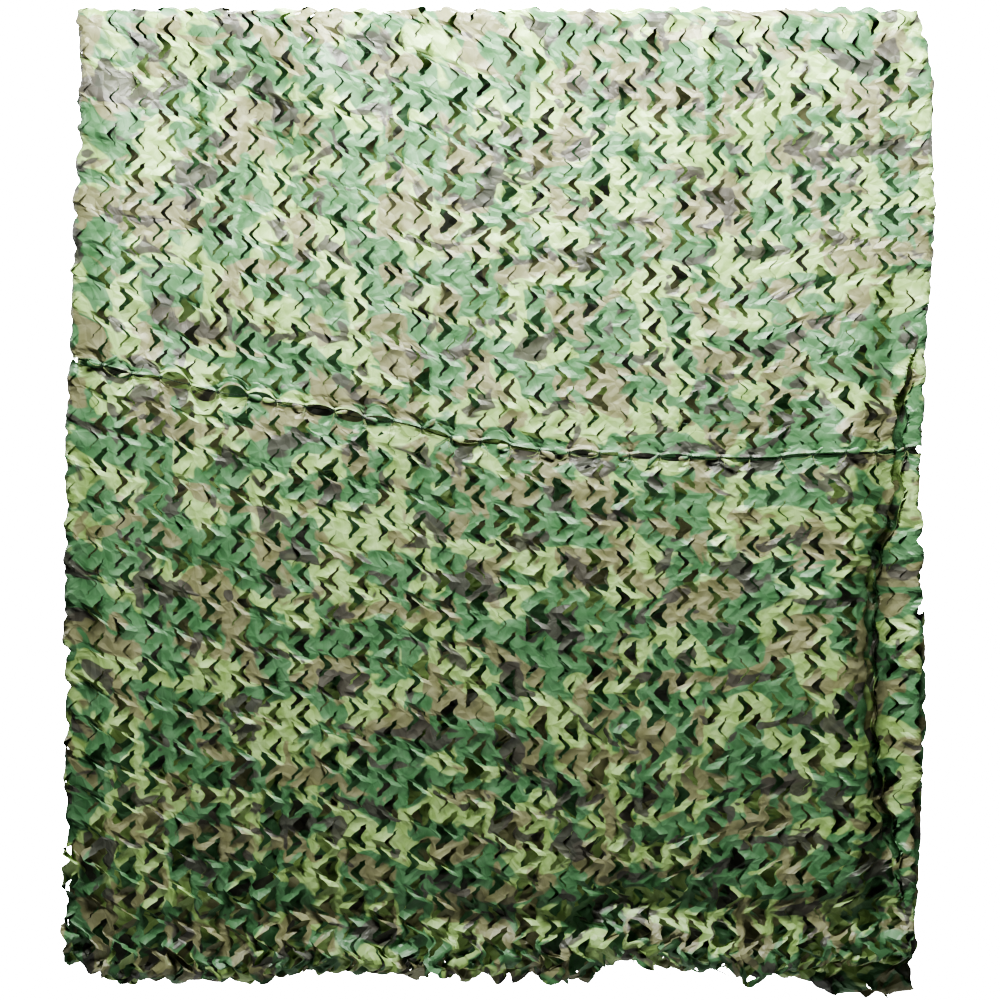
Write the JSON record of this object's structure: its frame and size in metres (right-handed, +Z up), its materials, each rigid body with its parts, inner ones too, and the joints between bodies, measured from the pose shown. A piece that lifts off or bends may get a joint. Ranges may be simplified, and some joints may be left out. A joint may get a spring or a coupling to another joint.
{
  "type": "camouflage net",
  "caption": "Folded camouflage net of slit cloth, widths laced edge to edge, hanging from its top edge.",
  "frame": {"origin": "middle of the top edge, where the net hangs over its line", "axes": "+Z up, the front of the net facing -Y, +X to the right as seen from the front"},
  "size_m": [1.4006, 0.1931, 1.5619],
  "materials": {
    "net_cloth": "printed satin polyester, blotched in greens, tan and grey",
    "lacing_cord": "dull green cord"
  },
  "bodies": {
    "root": {"panel_upper": "net_cloth", "panel_lower": "net_cloth", "panel_back": "net_cloth", "lacing_front": "lacing_cord", "lacing_back": "lacing_cord"}
  },
  "joints": []
}
